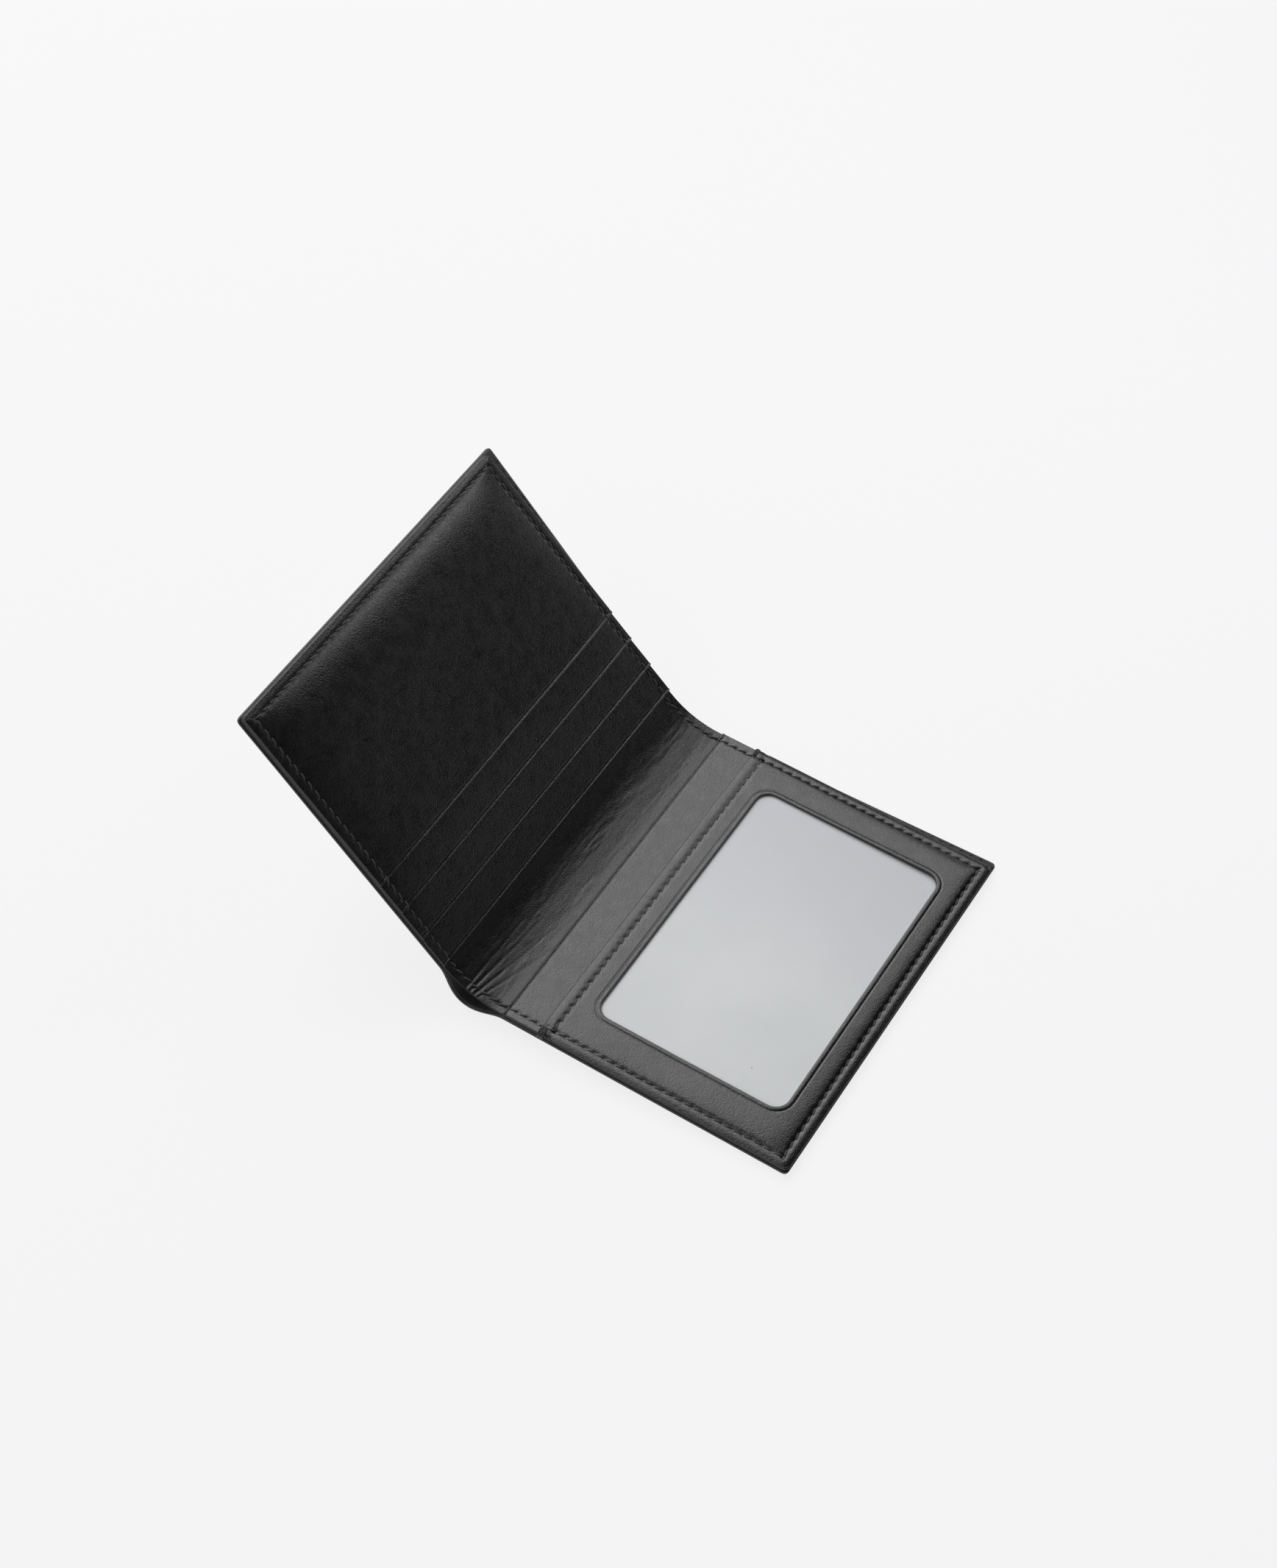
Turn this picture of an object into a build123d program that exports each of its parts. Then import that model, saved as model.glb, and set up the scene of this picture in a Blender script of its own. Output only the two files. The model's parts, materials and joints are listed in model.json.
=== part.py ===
"""Two-leaf leather billfold with portrait card pockets and a windowed pocket.

The section is drawn across the fold: u runs from the fold line to the outer edge of a
leaf, y runs along the fold and z is the height above the underside of a leaf.  The right
leaf lies along +X.  The left leaf is the mirror image, turned up about the fold axis.
The finished wallet is tipped a little, so that it rests on its spine and its right edge.
"""
from build123d import *
import os
from math import asin, cos, degrees, radians, sin

# Leaves
LEAF_W = 81.0            # fold line to outer edge
LEAF_H = 97.0            # near edge to far edge, along the fold
CORNER_R = 1.5           # outer corners in plan
LEAF_START = 7.0         # the flat part of a leaf begins this far from the fold line
FOLD_REST = 43.0         # left leaf above flat, in degrees
SHELL_RISE_RIGHT = 2.5   # extra height of the bill compartment's back wall at the corner
SHELL_RISE_LEFT = 3.5

# Thicknesses
LEATHER_T = 0.8
STIFFENER_T = 0.2
LINING_T = 0.2
BILL_GAP = 0.2
INNER_T = 0.3
POCKET_PITCH = 0.4       # height that one card pocket adds
POCKET_LINING_T = 0.1
SLOT_GAP = 0.05
FACE_T = 0.4             # leather of the window panel
FILM_T = 0.1
INSERT_T = 0.3
INSERT_PLAY = 0.1        # free height above and below the insert

# Card pockets and window panel, measured from the fold line
POCKET_FIRST = 8.2
POCKET_STEP = 8.0
LEFT_POCKETS = 4
PANEL_MOUTH = 17.6
WINDOW_W = 47.5
WINDOW_H = 75.0
WINDOW_U = 49.1          # centre of the window
WINDOW_Y = 0.5
WINDOW_R = 3.5
FILM_MARGIN = 1.0
INSERT_W = 54.0
INSERT_H = 85.6
INSERT_R = 3.0

# Seams
RIM_W = 4.0              # turned-in edge
SEAM_IN = 2.8            # seam to edge
BILL_SEAM_IN = 1.1       # seam of the bill compartment's back wall, to its edge
BILL_SEAM_FROM = 0.62    # where that seam comes out from behind the inner panel
STITCH_PITCH = 2.5
STITCH = (1.8, 0.45, 0.12)
STITCH_LIFT = 0.01       # thread stands clear of the leather by this much
SAME_PLACE = 0.01        # points closer than this count as one
TACK = (1.9, 0.9, 0.2)
TACK_IN = 4.1            # middle of a bar tack to the edge of the leaf

# Spine
AXIS_Z = 3.6             # fold axis above the underside of a leaf
SPINE_R = 6.6            # outside of the spine about the fold axis
SPINE_HALF_SPAN = 55.0   # half of the round part, in degrees
FLANK_RIGHT = 3.9        # straight run from the round part to the right leaf
FLANK_LEFT = 1.9         # shorter, to leave the left leaf room to turn
WING_LEFT = 6.4          # reach of the inner spine panel on the left

NEAR = -LEAF_H / 2
FAR = LEAF_H / 2
LINING_Z = LEATHER_T + STIFFENER_T
SHELL_TOP = LINING_Z + LINING_T
INNER_Z = SHELL_TOP + BILL_GAP
BASE_TOP = INNER_Z + INNER_T
RIGHT_POCKET_TOP = BASE_TOP + POCKET_PITCH
INSERT_Z = RIGHT_POCKET_TOP + INSERT_PLAY
FILM_Z = INSERT_Z + INSERT_T + INSERT_PLAY
PANEL_Z = FILM_Z + FILM_T
PANEL_TOP = PANEL_Z + FACE_T
TILT = degrees(asin((SPINE_R - AXIS_Z) / LEAF_W))


def outline(u0, u1, near, far, far_outer):
    """Plan of a sheet whose far edge may slope, with round outer corners."""
    face = make_face(Polyline((u0, near), (u1, near), (u1, far_outer), (u0, far), close=True))
    outer = face.vertices().filter_by(lambda v: v.X > u1 - SAME_PLACE)
    return fillet(outer, CORNER_R)


def sheet(u0, z0, z1, rise=0.0):
    """A full-height sheet from u0 to the outer edge of the leaf."""
    plan = outline(u0, LEAF_W, NEAR, FAR, FAR + rise)
    return extrude(Pos(0, 0, z0) * plan, z1 - z0)


def rim(u0, z0, z1, rise=0.0, far_closed=True):
    """The turned-in edge of a sheet, on its near and outer sides and its far one too."""
    outer = outline(u0, LEAF_W, NEAR, FAR, FAR + rise)
    far_cut = -RIM_W if far_closed else RIM_W
    inner = make_face(Polyline(
        (u0 - RIM_W, NEAR + RIM_W), (LEAF_W - RIM_W, NEAR + RIM_W),
        (LEAF_W - RIM_W, FAR + rise + far_cut), (u0 - RIM_W, FAR + far_cut), close=True))
    return extrude(Pos(0, 0, z0) * (outer - inner), z1 - z0)


def turned(shape):
    """Mirror a right-hand piece to the left leaf and raise it to its rest angle."""
    mirrored = mirror(shape, Plane.YZ)
    return Pos(0, 0, AXIS_Z) * Rot(0, FOLD_REST, 0) * Pos(0, 0, -AXIS_Z) * mirrored


def shell_leather(rise):
    plate = sheet(LEAF_START, 0, LEATHER_T, rise)
    return plate + rim(LEAF_START, LEATHER_T, LINING_Z, rise)


def shell_stiffener(rise):
    """Reinforcing board, sealed between the leather and the lining."""
    u1 = LEAF_W - RIM_W
    plan = make_face(Polyline(
        (LEAF_START, NEAR + RIM_W), (u1, NEAR + RIM_W),
        (u1, FAR - RIM_W + rise), (LEAF_START, FAR - RIM_W), close=True))
    return extrude(Pos(0, 0, LEATHER_T) * plan, STIFFENER_T)


def shell_lining(rise):
    return sheet(LEAF_START, LINING_Z, SHELL_TOP, rise)


def inner_panel():
    """Front wall of the bill compartment, joined to the shell on two sides."""
    return sheet(LEAF_START, INNER_Z, BASE_TOP) + rim(LEAF_START, SHELL_TOP, INNER_Z, far_closed=False)


def pocket_mouth(index):
    return POCKET_FIRST + index * POCKET_STEP


def card_pocket(index):
    base = BASE_TOP + index * POCKET_PITCH
    return sheet(pocket_mouth(index), base + SLOT_GAP + POCKET_LINING_T, base + POCKET_PITCH)


def card_pocket_lining(index):
    bottom = BASE_TOP + index * POCKET_PITCH + SLOT_GAP
    return sheet(pocket_mouth(index) + SLOT_GAP, bottom, bottom + POCKET_LINING_T)


def window_panel():
    plate = sheet(PANEL_MOUTH, PANEL_Z, PANEL_TOP)
    opening = Pos(WINDOW_U, WINDOW_Y, PANEL_Z) * extrude(
        RectangleRounded(WINDOW_W, WINDOW_H, WINDOW_R), FACE_T)
    return plate - opening + rim(PANEL_MOUTH, RIGHT_POCKET_TOP, PANEL_Z)


def block(u0, u1, y0, y1, z0, z1):
    return Pos((u0 + u1) / 2, (y0 + y1) / 2, (z0 + z1) / 2) * Box(u1 - u0, y1 - y0, z1 - z0)


def window_film():
    return block(PANEL_MOUTH + FILM_MARGIN, LEAF_W - RIM_W, NEAR + RIM_W, FAR - RIM_W,
                 FILM_Z, PANEL_Z)


def id_insert():
    return Pos(WINDOW_U, WINDOW_Y, INSERT_Z) * extrude(
        RectangleRounded(INSERT_W, INSERT_H, INSERT_R), INSERT_T)


def polar(radius, angle):
    """A point of the section, given about the fold axis."""
    return (radius * cos(radians(angle)), AXIS_Z + radius * sin(radians(angle)))


def spine_band(r_out, r_in):
    """A bowed strip of the shell between the two leaves."""
    middle = -90 - FOLD_REST / 2
    right = middle + SPINE_HALF_SPAN
    left = middle - SPINE_HALF_SPAN

    def flank(radius, angle, run):
        x, z = polar(radius, angle)
        return (x - run * sin(radians(angle)), z + run * cos(radians(angle)))

    edges = [
        ThreePointArc(polar(r_out, right), polar(r_out, middle), polar(r_out, left)),
        Line(polar(r_out, left), flank(r_out, left, -FLANK_LEFT)),
        Line(flank(r_out, left, -FLANK_LEFT), flank(r_in, left, -FLANK_LEFT)),
        Line(flank(r_in, left, -FLANK_LEFT), polar(r_in, left)),
        ThreePointArc(polar(r_in, left), polar(r_in, middle), polar(r_in, right)),
        Line(polar(r_in, right), flank(r_in, right, FLANK_RIGHT)),
        Line(flank(r_in, right, FLANK_RIGHT), flank(r_out, right, FLANK_RIGHT)),
        Line(flank(r_out, right, FLANK_RIGHT), polar(r_out, right)),
    ]
    return along_fold(edges)


def along_fold(edges):
    """Extrude a closed section over the height of the leaf."""
    section = make_face(edges)
    upright = Rot(90, 0, 0) * section
    return Pos(0, FAR, 0) * extrude(upright, LEAF_H, dir=(0, -1, 0))


def inner_spine():
    """The inner panel where it goes round the fold."""
    r_top = AXIS_Z - BASE_TOP
    r_low = AXIS_Z - INNER_Z
    end = -90 - FOLD_REST
    middle = -90 - FOLD_REST / 2
    bend = along_fold([
        ThreePointArc(polar(r_low, -90), polar(r_low, middle), polar(r_low, end)),
        Line(polar(r_low, end), polar(r_top, end)),
        ThreePointArc(polar(r_top, end), polar(r_top, middle), polar(r_top, -90)),
        Line(polar(r_top, -90), polar(r_low, -90)),
    ])
    right_wing = block(0, LEAF_START, NEAR, FAR, INNER_Z, BASE_TOP)
    left_wing = turned(block(0, WING_LEFT, NEAR, FAR, INNER_Z, BASE_TOP))
    return right_wing + bend + left_wing


def stitches(start, end, height_at):
    """Separate stitches along a straight seam; height_at gives the surface under each."""
    (u0, y0), (u1, y1) = start, end
    run = ((u1 - u0) ** 2 + (y1 - y0) ** 2) ** 0.5
    count = int(run / STITCH_PITCH)
    along_u = abs(u1 - u0) > abs(y1 - y0)
    size = STITCH if along_u else (STITCH[1], STITCH[0], STITCH[2])
    row = []
    for i in range(count):
        t = (i + 0.5) / count
        u = u0 + (u1 - u0) * t
        reach = size[0] / 2
        z = max(height_at(u - reach), height_at(u + reach))
        row.append(Pos(u, y0 + (y1 - y0) * t, z + STITCH_LIFT + size[2] / 2) * Box(*size))
    return row


def left_top(u):
    layers = sum(1 for i in range(LEFT_POCKETS) if u > pocket_mouth(i))
    return BASE_TOP + layers * POCKET_PITCH


def right_top(u):
    if u > PANEL_MOUTH:
        return PANEL_TOP
    return RIGHT_POCKET_TOP if u > POCKET_FIRST else BASE_TOP


def lining_top(u):
    return SHELL_TOP


def leaf_threads(height_at, rise):
    """Thread of the seams that both leaves have."""
    outer = LEAF_W - SEAM_IN
    start = LEAF_START + STITCH_PITCH
    near = NEAR + SEAM_IN
    far = FAR - SEAM_IN
    slope = rise / (LEAF_W - LEAF_START)
    bill_start = LEAF_W * BILL_SEAM_FROM
    bill_y = FAR + slope * (bill_start - LEAF_START) - BILL_SEAM_IN
    return {
        "thread_near": stitches((start, near), (outer - STITCH_PITCH, near), height_at),
        "thread_outer": stitches((outer, near), (outer, far), height_at),
        "thread_far": stitches((start, far), (outer - STITCH_PITCH, far), height_at),
        "thread_bill_edge": stitches(
            (bill_start, bill_y), (outer, FAR + rise - BILL_SEAM_IN), lining_top),
    }


def group(solids):
    return Compound(children=solids)


def right_leaf():
    nodes = {
        "shell_leather_right": shell_leather(SHELL_RISE_RIGHT),
        "shell_stiffener_right": shell_stiffener(SHELL_RISE_RIGHT),
        "shell_lining_right": shell_lining(SHELL_RISE_RIGHT),
        "inner_panel_right": inner_panel(),
        "card_pocket_right": card_pocket(0),
        "card_pocket_lining_right": card_pocket_lining(0),
        "window_panel": window_panel(),
        "window_film": window_film(),
        "id_insert": id_insert(),
    }
    for name, row in leaf_threads(right_top, SHELL_RISE_RIGHT).items():
        nodes[name + "_right"] = group(row)
    mouth = PANEL_MOUTH + SEAM_IN
    nodes["thread_panel_mouth"] = group(stitches(
        (mouth, NEAR + 2 * SEAM_IN), (mouth, FAR - 2 * SEAM_IN), right_top))
    tack_size = (TACK[1], TACK[0], TACK[2])
    tack_at = (PANEL_MOUTH - TACK[1], RIGHT_POCKET_TOP + STITCH_LIFT + TACK[2] / 2)
    nodes["bar_tacks"] = group([
        Pos(tack_at[0], y, tack_at[1]) * Box(*tack_size)
        for y in (NEAR + TACK_IN, FAR - TACK_IN)])
    return nodes


def spine():
    lining_r = SPINE_R - LEATHER_T
    return {
        "shell_leather_spine": spine_band(SPINE_R, lining_r),
        "shell_lining_spine": spine_band(lining_r, lining_r - LINING_T),
        "inner_panel_spine": inner_spine(),
    }


def left_leaf():
    nodes = {
        "shell_leather_left": shell_leather(SHELL_RISE_LEFT),
        "shell_stiffener_left": shell_stiffener(SHELL_RISE_LEFT),
        "shell_lining_left": shell_lining(SHELL_RISE_LEFT),
        "inner_panel_left": inner_panel(),
    }
    for i in range(LEFT_POCKETS):
        nodes[f"card_pocket_left_{i + 1}"] = card_pocket(i)
        nodes[f"card_pocket_lining_left_{i + 1}"] = card_pocket_lining(i)
    threads = leaf_threads(left_top, SHELL_RISE_LEFT)
    turned_nodes = {name: turned(shape) for name, shape in nodes.items()}
    for name, row in threads.items():
        turned_nodes[name + "_left"] = group([turned(stitch) for stitch in row])
    return turned_nodes


def standing(nodes):
    """Tip the wallet onto its spine and right edge, with its origin under the middle."""
    tipped = {name: Rot(0, TILT, 0) * shape for name, shape in nodes.items()}
    boxes = [shape.bounding_box() for shape in tipped.values()]
    low = [min(getattr(box.min, axis) for box in boxes) for axis in "XYZ"]
    high = [max(getattr(box.max, axis) for box in boxes) for axis in "XYZ"]
    shift = Pos(-(low[0] + high[0]) / 2, -(low[1] + high[1]) / 2, -low[2])
    fold = (shift * Rot(0, TILT, 0) * Pos(0, 0, AXIS_Z)).position
    return {name: shift * shape for name, shape in tipped.items()}, fold


def main():
    os.makedirs("parts", exist_ok=True)
    nodes, fold = standing({**right_leaf(), **spine(), **left_leaf()})
    for name, shape in nodes.items():
        export_step(shape, f"parts/{name}.step")
    print("nodes", len(nodes), "tilt", round(TILT, 3))
    print("fold axis through", [round(v, 3) for v in fold])
    return nodes


main()
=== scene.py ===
"""The looks of the leather billfold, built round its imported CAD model.

Lengths below are millimetres in a leaf's own frame: u runs out from the fold, y along it, and z is the
height above the leaf's underside.  The place functions turn them into metres in the CAD frame.
"""
import bpy
import json
import math
import numpy as np
from mathutils import Matrix, Vector


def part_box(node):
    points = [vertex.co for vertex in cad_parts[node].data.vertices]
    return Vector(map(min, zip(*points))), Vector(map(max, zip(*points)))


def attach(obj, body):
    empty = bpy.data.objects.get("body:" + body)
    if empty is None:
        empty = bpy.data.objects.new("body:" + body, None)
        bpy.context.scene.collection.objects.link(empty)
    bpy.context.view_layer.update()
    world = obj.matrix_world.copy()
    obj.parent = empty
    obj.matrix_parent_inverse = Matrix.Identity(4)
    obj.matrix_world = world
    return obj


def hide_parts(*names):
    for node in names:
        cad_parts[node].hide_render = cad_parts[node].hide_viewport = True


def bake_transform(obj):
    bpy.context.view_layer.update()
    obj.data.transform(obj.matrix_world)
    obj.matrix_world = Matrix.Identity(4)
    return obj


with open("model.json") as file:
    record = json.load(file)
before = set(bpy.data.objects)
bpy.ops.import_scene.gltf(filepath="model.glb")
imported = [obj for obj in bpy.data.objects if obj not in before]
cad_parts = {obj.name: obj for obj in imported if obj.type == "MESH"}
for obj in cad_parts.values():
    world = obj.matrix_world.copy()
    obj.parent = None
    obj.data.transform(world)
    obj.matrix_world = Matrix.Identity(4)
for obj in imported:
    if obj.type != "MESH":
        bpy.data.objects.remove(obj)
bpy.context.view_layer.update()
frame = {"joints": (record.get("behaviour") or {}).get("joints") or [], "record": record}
MM = 0.001

# Driving dimensions, as the CAD model has them
LEAF_W = 81.0
LEAF_H = 97.0
NEAR = -LEAF_H / 2
FAR = LEAF_H / 2
CORNER_R = 1.3
RISE_RIGHT = 2.5
RISE_LEFT = 3.5
LEAF_START = 7.0
SHELL_TOP = 1.2
LEATHER_TOP = 0.9
INNER_LOW = 1.3
BASE_TOP = 1.7
POCKET_PITCH = 0.4
STACK_INSET = 0.3        # the pieces between the shell and the top one stop this far short
POCKET_FIRST = 8.2
POCKET_STEP = 8.0
LEFT_POCKETS = 4
PANEL_MOUTH = 17.6
PANEL_TOP = 3.1
PANEL_T = 0.55
RIM_W = 4.0
WINDOW_U = 49.1
WINDOW_Y = 0.5
WINDOW_W = 47.5
WINDOW_H = 75.0
WINDOW_R = 3.5
FILM_TOP = 2.52
FILM_T = 0.08
FILM_EDGE = 0.04
INSERT_LOW = 2.18
INSERT_T = 0.2
INSERT_W = 54.0
INSERT_H = 85.6
INSERT_R = 3.0
CARD_EDGE = 0.08
SEAM_IN = 2.4            # from a leaf's edges
MOUTH_SEAM = 2.8         # from the window panel's mouth
BILL_SEAM = 1.1          # from the shell's far edge
SEAM_START = 8.6         # the near and far seams run from here to the outer one
STITCH_PITCH = 2.5
STITCH_L = 2.1
STITCH_R = 0.26
STITCH_SLANT = 0.22
TWIST = 1.5              # the left leaf's near corner stands this much higher, its far one lower

# Frame of the fold, from the record
JOINT = next(j for j in frame["joints"] if j["type"] == "hinge")
MOUNT = frame["record"]["mounts"][0]
FOLD = np.array(JOINT["pos_m"]) / MM
UP = -np.array(MOUNT["axis"])
UP = UP / np.linalg.norm(UP)
OUT = np.array([UP[2], 0.0, -UP[0]])
REST = -math.radians(JOINT["range_deg"][0])
AXIS_Z = float((FOLD - np.array(MOUNT["pos_m"]) / MM) @ UP)
Y_MID = sum(corner.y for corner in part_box("inner_panel_right")) / 2 / MM


def turned(vector, angle):
    """A vector of the section turned about the fold, positive raising the left leaf."""
    c, s = math.cos(angle), math.sin(angle)
    return np.array([c * vector[0] + s * vector[2], vector[1], c * vector[2] - s * vector[0]])


LEFT_OUT = turned(-OUT, REST)
LEFT_UP = turned(UP, REST)


def smooth(x):
    x = np.clip(x, 0.0, 1.0)
    return x * x * (3 - 2 * x)


def twist(u, y):
    """Extra height of the left leaf, which isn't quite flat."""
    return -TWIST * np.clip((u - LEAF_START) / LEAF_W, 0, None) * y / FAR


def along_fold(points, y):
    points[:, 1] = y + Y_MID
    return points * MM


def right_point(u, y, z):
    points = FOLD + np.outer(u, OUT) + np.outer(z - AXIS_Z, UP)
    return along_fold(points, y)


def left_point(u, y, z):
    points = FOLD + np.outer(u, LEFT_OUT) + np.outer(z + twist(u, y) - AXIS_Z, LEFT_UP)
    return along_fold(points, y)


class Fold:
    """A sheet that goes round the fold: straight on both leaves, with an arc between them."""

    def __init__(self, z_ref, reach):
        self.z_ref = z_ref
        drop = AXIS_Z - z_ref
        self.tangent_u = reach - drop * math.tan(REST / 2)
        self.radius = reach / math.tan(REST / 2)
        self.half = self.radius * REST / 2
        self.drop = drop

    def across(self, u):
        """Distance along the sheet, from the middle of the fold, of a place on a leaf."""
        return u - self.tangent_u + self.half

    def leaf_u(self, s):
        return np.abs(s) - self.half + self.tangent_u

    def place(self, s, y, z):
        angle = np.clip((self.half - s) / self.radius, 0, REST)
        c, sn = np.cos(angle), np.sin(angle)
        normal = np.outer(c, UP) + np.outer(sn, np.array([UP[2], 0.0, -UP[0]]))
        centre = FOLD + OUT * self.tangent_u + UP * (self.radius - self.drop)
        arc = centre - normal * self.radius
        spare = np.clip(np.abs(s) - self.half, 0, None)
        run = np.where((s > 0)[:, None], np.outer(spare, OUT), np.outer(spare, LEFT_OUT))
        lift = z - self.z_ref
        lift = lift + np.where(s < 0, twist(self.leaf_u(s), y), 0.0)
        return along_fold(arc + run + normal * lift[:, None], y)


# ---------------------------------------------------------------- noise

NOISE_CELLS = 64


def lattice_noise(u, v, seed):
    """Smooth noise in 0..1 with features about one unit across."""
    rng = np.random.default_rng(seed)
    table = rng.random((NOISE_CELLS, NOISE_CELLS))
    iu, iv = np.floor(u).astype(int), np.floor(v).astype(int)
    fu, fv = smooth(u - iu), smooth(v - iv)

    def at(a, b):
        return table[a % NOISE_CELLS, b % NOISE_CELLS]

    low = at(iu, iv) * (1 - fu) + at(iu + 1, iv) * fu
    high = at(iu, iv + 1) * (1 - fu) + at(iu + 1, iv + 1) * fu
    return low * (1 - fv) + high * fv


def waviness(u, y, seed, size=14.0, height=0.1):
    """The slow unevenness of a leather sheet."""
    wide = lattice_noise(u / size + 7, y / size + 3, seed)
    fine = lattice_noise(u / size * 2.3 + 1, y / size * 2.3 + 5, seed + 1)
    return height * (wide + 0.4 * fine - 0.7)


# ---------------------------------------------------------------- meshes

TURNED_EDGE = 0.22       # how far in from its edge a sheet of leather is rounded
THIN_EDGE = 0.05
EDGE_LINES = 5           # grid lines round a turned edge


def quarter_turn(count):
    """Places, from 0 to 1, that are even steps round a quarter of a circle."""
    return 1 - np.cos(np.linspace(0, math.pi / 2, count))


def lines(start, end, step, zones=(), edge=TURNED_EDGE):
    """Grid lines from start to end, close together at the ends and within each (low, high, step)."""
    curve = edge * quarter_turn(EDGE_LINES)
    marks = [start + edge]
    while marks[-1] < end - edge - 1e-6:
        here = marks[-1]
        local = min([step] + [fine for low, high, fine in zones if low - step < here < high])
        marks.append(min(here + local, end - edge))
    return np.concatenate([start + curve[:-1], marks, end - curve[:-1][::-1]])


def outward(points, faces):
    """The faces, turned over if they enclose a negative volume, as a mirrored leaf's do."""
    a, b, c, d = (points[faces[:, i]] for i in range(4))
    volume = np.sum(a * (np.cross(b, c) + np.cross(c, d)))
    return faces if volume > 0 else faces[:, ::-1]


def make_object(name, points, faces, flat, edge, material):
    mesh = bpy.data.meshes.new(name)
    faces = outward(points - points.mean(axis=0), faces)
    mesh.from_pydata(points.tolist(), [], faces.tolist())
    mesh.polygons.foreach_set("use_smooth", [True] * len(mesh.polygons))
    layer = mesh.uv_layers.new(name="leaf")
    corner = np.empty(len(mesh.loops), int)
    mesh.loops.foreach_get("vertex_index", corner)
    layer.data.foreach_set("uv", (flat[corner] / 100).astype(np.float32).ravel())
    rim = mesh.attributes.new("rim", "FLOAT", "POINT")
    rim.data.foreach_set("value", edge.astype(np.float32))
    mesh.materials.append(material)
    mesh.update()
    obj = bpy.data.objects.new(name, mesh)
    bpy.context.scene.collection.objects.link(obj)
    return obj


def rounded_plan(u, y, u0, u1, y0, y1, radii):
    """Moves the corners of a square grid onto arcs. radii are (u0 side, u1 side)."""
    u, y = u.copy(), y.copy()
    for u_edge, side, r in ((u0, -1, radii[0]), (u1, 1, radii[1])):
        if r <= 0:
            continue
        for y_edge, end in ((y0, -1), (y1, 1)):
            cu, cy = u_edge - side * r, y_edge - end * r
            a = (u - cu) * side / r
            b = (y - cy) * end / r
            here = (a > 0) & (b > 0)
            na = a * np.sqrt(np.clip(1 - b * b / 2, 0, 1))
            nb = b * np.sqrt(np.clip(1 - a * a / 2, 0, 1))
            u = np.where(here, cu + side * r * na, u)
            y = np.where(here, cy + end * r * nb, y)
    return u, y


def slab(name, us, ys, top, bottom, place, material, radii=(0.0, CORNER_R), warp=None, edge=TURNED_EDGE):
    """A closed sheet with round edges. top and bottom give heights at (u, y), warp moves its plan."""
    grid_u, grid_y = np.meshgrid(us, ys, indexing="ij")
    shape = grid_u.shape
    reach = np.minimum.reduce([grid_u - us[0], us[-1] - grid_u, grid_y - ys[0], ys[-1] - grid_y])
    full = np.sqrt(np.clip(1 - np.clip(1 - reach / edge, 0, 1) ** 2, 0, 1))
    u, y = rounded_plan(grid_u, grid_y, us[0], us[-1], ys[0], ys[-1], radii)
    if warp:
        u, y = warp(u, y)
    high, low = top(u, y), bottom(u, y)
    middle = (high + low) / 2
    zt = middle + (high - middle) * full
    zb = middle - (middle - low) * full
    border = np.zeros(shape, bool)
    border[0, :] = border[-1, :] = border[:, 0] = border[:, -1] = True
    top_id = np.arange(u.size).reshape(shape)
    low_id = top_id.copy()
    low_id[~border] = u.size + np.arange((~border).sum())

    def quads(ids, flip):
        a, b, c, d = ids[:-1, :-1], ids[1:, :-1], ids[1:, 1:], ids[:-1, 1:]
        order = (a, d, c, b) if flip else (a, b, c, d)
        return np.stack([x.ravel() for x in order], axis=1)

    inner = ~border
    all_u = np.concatenate([u.ravel(), u[inner]])
    all_y = np.concatenate([y.ravel(), y[inner]])
    all_z = np.concatenate([zt.ravel(), zb[inner]])
    rim = np.concatenate([1 - full.ravel(), 1 - full[inner]])
    faces = np.concatenate([quads(top_id, False), quads(low_id, True)])
    points = place(all_u, all_y, all_z)
    return make_object(name, points, faces, np.stack([all_u, all_y], axis=1), rim, material)


# ---------------------------------------------------------------- relief of a sewn leaf

SEAM_STOP = 0.8
PADDING_FADE = 45.0      # the padding thins out over this length towards the fold
PANEL_PRESS = 0.46       # how far the window panel's seams press it down
PANEL_ROLL = 0.38        # how far its edges turn down past them
LEFT_ROLL = 0.34


def edge_gaps(u, y):
    """Distances inwards from the outer edge and from the nearer of the near and far edges."""
    return LEAF_W - u, np.minimum(y - NEAR, FAR - y)


def hole_wave(along, start, end):
    """1 at each needle hole of a seam, -1 halfway between two."""
    pitch = (end - start) / round((end - start) / STITCH_PITCH)
    return np.cos(2 * math.pi * (along - start) / pitch)


def ridge(gap, middle, width):
    """1 at the middle of a line, falling off on both sides of it."""
    return np.exp(-((gap - middle) / width) ** 2)


def seam_dip(gap, wave, depth):
    """The groove that a seam pulls, deeper at each needle hole."""
    return -depth * (0.6 + 0.4 * wave) * ridge(gap, SEAM_IN, 0.45)


def u_wave(u):
    return hole_wave(u, SEAM_START, LEAF_W - SEAM_IN)


def y_wave(y):
    return hole_wave(y, NEAR + SEAM_IN, FAR - SEAM_IN)


def inside_seam(gap):
    """0 outside the seam and 1 on it, to stop one seam's groove where it meets another."""
    return smooth((gap - SEAM_IN + SEAM_STOP) / SEAM_STOP)


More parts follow.
